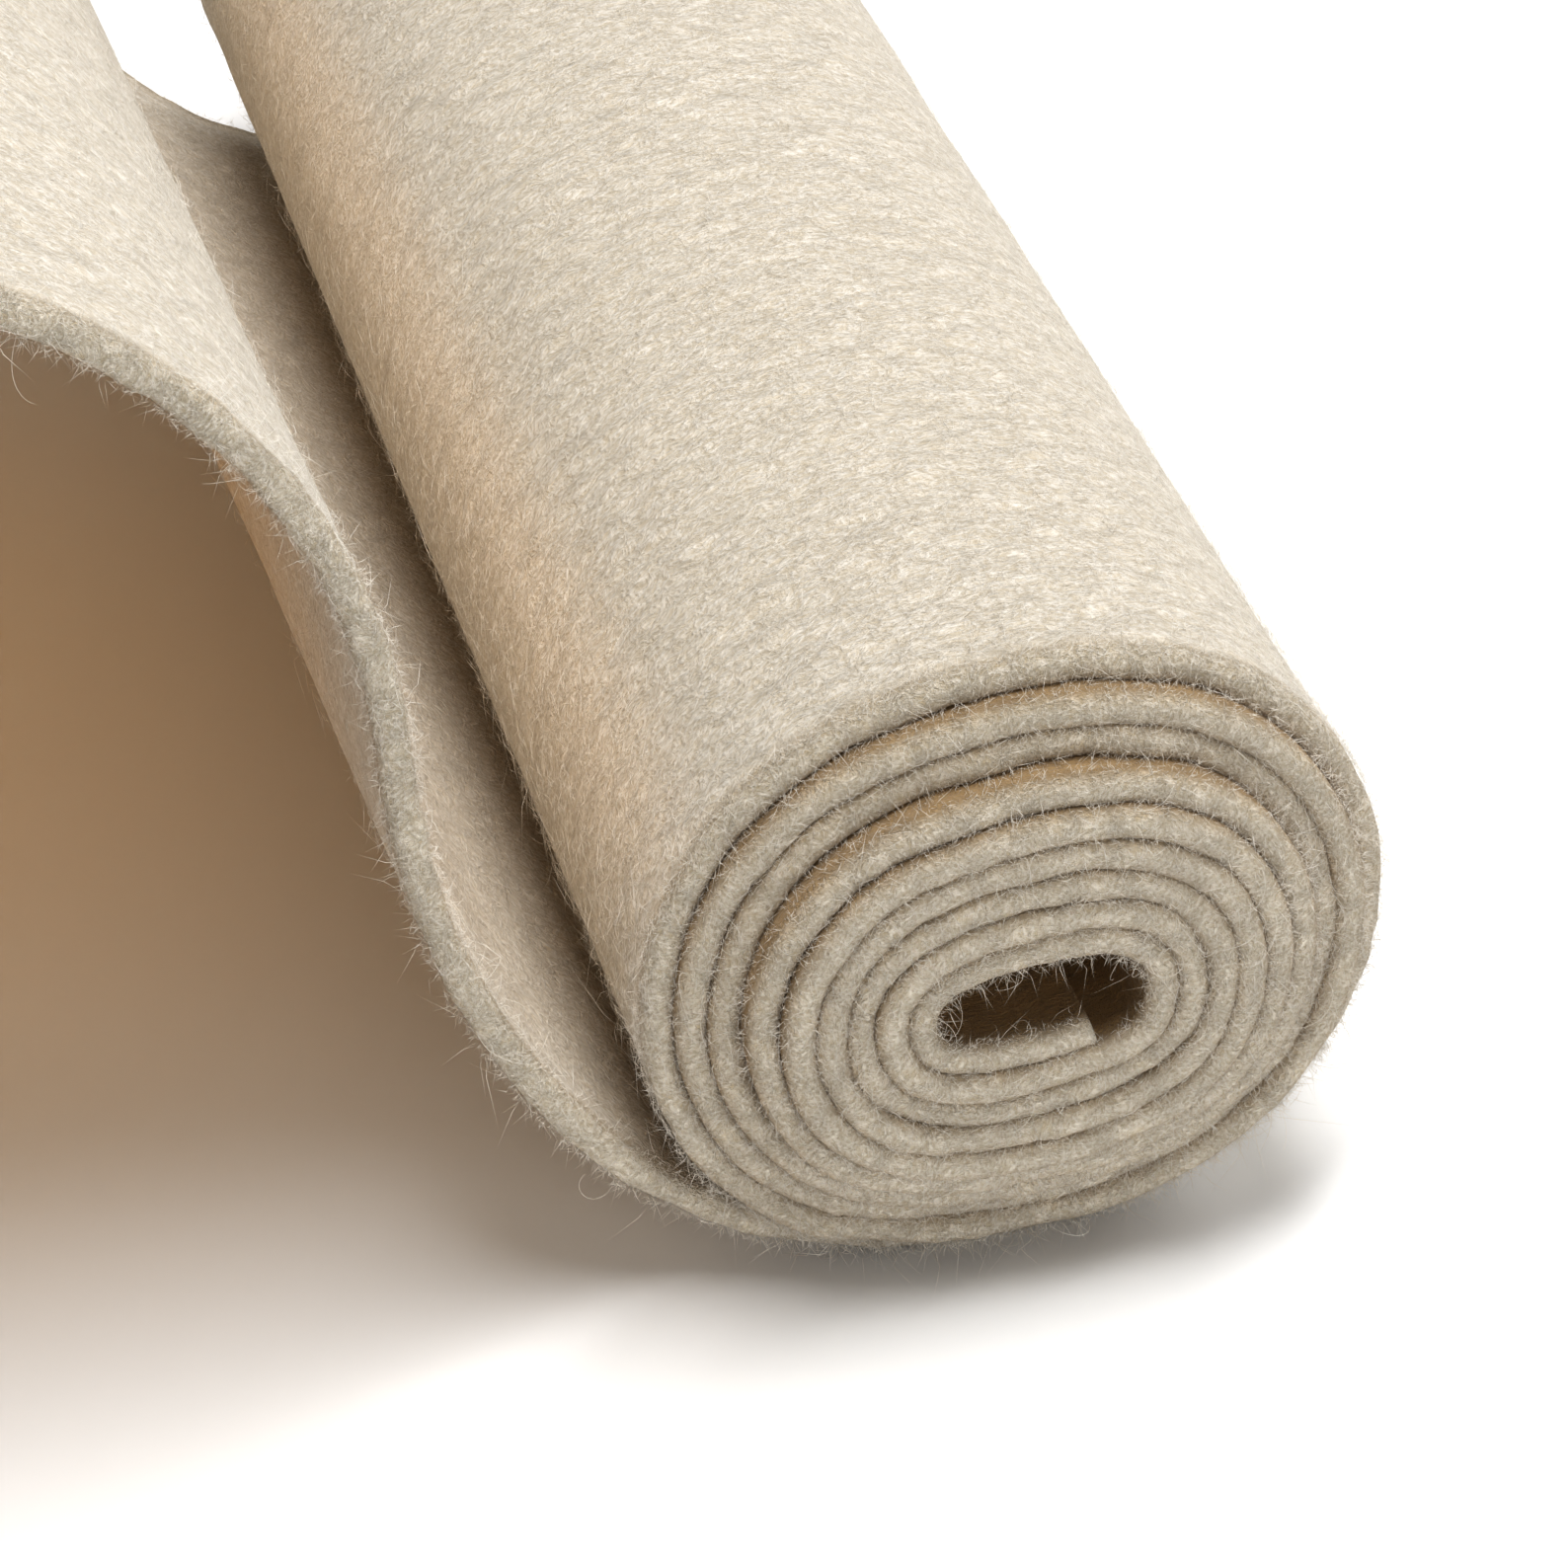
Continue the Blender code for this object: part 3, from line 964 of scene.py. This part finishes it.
class FELT_OT_add_long_hairs(bpy.types.Operator):
    """Add the few long, curly hairs that stick out of the edges and the eye"""
    bl_idname = "felt.add_long_hairs"
    bl_label = "Add the long hairs"

    def execute(self, context):
        scene = context.scene
        strip, fibres = scene.felt_strip, scene.felt_fibres
        line = strip_line(strip)
        material = fibre_material(scene.felt_colours)
        draw = np.random.default_rng(fibres.seed + 30)
        total = line["along"][-1]
        count = fibres.long_count
        in_eye = draw.uniform(0, 1, count) < EYE_HAIR_SHARE
        along = np.where(in_eye, draw.uniform(0.0, EYE_LENGTH, count),
                         draw.uniform(0.0, total, count))
        across = strip.edge_rounding * draw.uniform(0.05, 0.9, count)
        offset = draw.uniform(-0.45, 0.45, count) * strip.thickness
        roots, _, _ = on_strip(strip, line, along, across, offset)
        out_of_edge = np.array([[0.0, -1.0, 0.0]])
        heads = unit(out_of_edge * 0.5 + draw.normal(0, 0.7, (count, 3)))
        heads[:, 1] = -np.abs(heads[:, 1])
        lengths = draw.uniform(0.004, 0.012, count)
        curls = draw.uniform(2.0, 6.5, count) * draw.choice([-1.0, 1.0], count)
        centres = self.curls(roots, heads, lengths, curls, draw)
        dress(fibre_object("long_hairs", centres, fibres.radius * 1.1 * np.ones(count)), material)
        return {"FINISHED"}

    def curls(self, roots, heads, lengths, curls, draw):
        """Centre lines that turn steadily by a total angle, each in a plane of its own."""
        count = len(roots)
        axes = unit(np.cross(heads, draw.normal(0, 1, (count, 3))))
        across = np.cross(axes, heads)
        step = lengths / LONG_SEGMENTS
        spots = [roots]
        for segment in range(LONG_SEGMENTS):
            turn = (curls * (segment / LONG_SEGMENTS) ** 1.4)[:, None]
            ahead = heads * np.cos(turn) + across * np.sin(turn) + axes * 0.15
            spots.append(spots[-1] + ahead * step[:, None])
        centres = np.stack(spots)
        centres[..., 2] = np.maximum(centres[..., 2], FIBRE_CLEARANCE)
        return centres


class FELT_OT_set_stage(bpy.types.Operator):
    """Lay the floor, hang the lights and place the camera"""
    bl_idname = "felt.set_stage"
    bl_label = "Set the stage"

    def execute(self, context):
        scene = context.scene
        self.floor(scene)
        self.lights(scene)
        self.camera(scene)
        scene.view_settings.view_transform = "Standard"
        scene.view_settings.look = "High Contrast"
        return {"FINISHED"}

    def floor(self, scene):
        bpy.ops.object.select_all(action="DESELECT")
        bpy.ops.mesh.primitive_circle_add(vertices=96, radius=3.0, fill_type="NGON",
                                          location=(0, 0, -0.0001))
        floor = bpy.context.active_object
        floor.name = "floor"
        material, _, shader = new_material("matt_floor")
        shader.inputs["Base Color"].default_value = linear(scene.felt_colours.floor)
        shader.inputs["Roughness"].default_value = 0.9
        shader.inputs["Specular IOR Level"].default_value = 0.1
        floor.data.materials.append(material)

    def lights(self, scene):
        world = bpy.data.worlds.new("studio")
        world.use_nodes = True
        background = world.node_tree.nodes["Background"]
        background.inputs["Color"].default_value = (1.0, 1.0, 1.0, 1.0)
        background.inputs["Strength"].default_value = 0.13
        scene.world = world
        centre = (CAD_LOW + CAD_HIGH) / 2
        lamps = (
            ("top_softbox", (0.15, -0.14, 1.10), (0.0, 0.0, 0.0), (0.90, 0.26), 9.0, WHITE),
            ("right_softbox", (0.85, 0.25, 0.45), (0.0, 0.0, 0.0), (0.70, 0.70), 2.2, WHITE),
            ("front_softbox", (0.30, -1.10, 0.25), (0.05, 0.0, -0.03), (0.90, 0.30), 2.0, WHITE),
            ("felt_glow_trough", (0.0585, 0.0, -0.005), (0.0585, 0.0, -0.06), (0.012, 0.24), 0.003,
             GLOW),
            ("felt_glow_down", (-0.02, 0.0, 0.01), (-0.02, 0.0, -0.06), (0.09, 0.20), 0.009, GLOW),
            ("felt_glow_up", (-0.02, 0.0, -0.03), (-0.02, 0.0, 0.06), (0.09, 0.20), 0.015, GLOW),
        )
        for name, place, aim, size, power, colour in lamps:
            light = bpy.data.lights.new(name, "AREA")
            light.shape = "RECTANGLE"
            light.size, light.size_y = size
            light.energy = power
            light.color = colour
            obj = bpy.data.objects.new(name, light)
            scene.collection.objects.link(obj)
            obj.location = centre + Vector(place)
            obj.rotation_euler = (Vector(aim) - Vector(place)).to_track_quat("-Z", "Y").to_euler()
            obj.visible_camera = False

    def camera(self, scene):
        stage = scene.felt_stage
        data = bpy.data.cameras.new("camera")
        data.lens = stage.lens
        data.sensor_width = 36.0
        data.clip_start = 0.01
        camera = bpy.data.objects.new("camera", data)
        scene.collection.objects.link(camera)
        turn, dip = stage.heading, stage.pitch
        right = np.array([math.cos(turn), -math.sin(turn), 0.0])
        view = np.array([math.sin(turn) * math.cos(dip), math.cos(turn) * math.cos(dip),
                         -math.sin(dip)])
        up = np.cross(right, view)
        strip = scene.felt_strip
        rest = np.array([ROLL_HIGH.x - stage.rest_inset,
                         ROLL_LOW.y + strip.set_back * (strip.turns - strip.set_back_from), 0.0])
        camera.location = (rest - view * stage.distance - right * stage.rest_right
                           + up * stage.rest_down)
        camera.rotation_euler = (math.pi / 2 - dip, 0.0, -turn)
        scene.camera = camera


class FELT_PT_panel(bpy.types.Panel):
    """Sizes and steps of the felt roll"""
    bl_idname = "FELT_PT_panel"
    bl_label = "Felt roll"
    bl_space_type = "VIEW_3D"
    bl_region_type = "UI"
    bl_category = "Felt roll"

    def draw(self, context):
        for operator in OPERATORS:
            self.layout.operator(operator.bl_idname)
        for group in ("felt_strip", "felt_fibres", "felt_colours", "felt_stage"):
            settings = getattr(context.scene, group)
            box = self.layout.box()
            for name in settings.__annotations__:
                box.prop(settings, name)


GROUPS = {"felt_strip": StripSettings, "felt_fibres": FibreSettings,
          "felt_colours": ColourSettings, "felt_stage": StageSettings}
OPERATORS = (FELT_OT_wind_strip, FELT_OT_raise_edge_fibres, FELT_OT_lay_surface_fibres,
             FELT_OT_add_long_hairs, FELT_OT_set_stage)


def register():
    for group in (*GROUPS.values(), *OPERATORS, FELT_PT_panel):
        bpy.utils.register_class(group)
    for name, group in GROUPS.items():
        setattr(bpy.types.Scene, name, bpy.props.PointerProperty(type=group))


def unregister():
    for name in GROUPS:
        delattr(bpy.types.Scene, name)
    for group in (FELT_PT_panel, *OPERATORS, *GROUPS.values()):
        bpy.utils.unregister_class(group)


def main():
    register()
    bpy.ops.felt.wind_strip()
    bpy.ops.felt.raise_edge_fibres()
    bpy.ops.felt.lay_surface_fibres()
    bpy.ops.felt.add_long_hairs()
    bpy.ops.felt.set_stage()


if __name__ == "__main__":
    main()
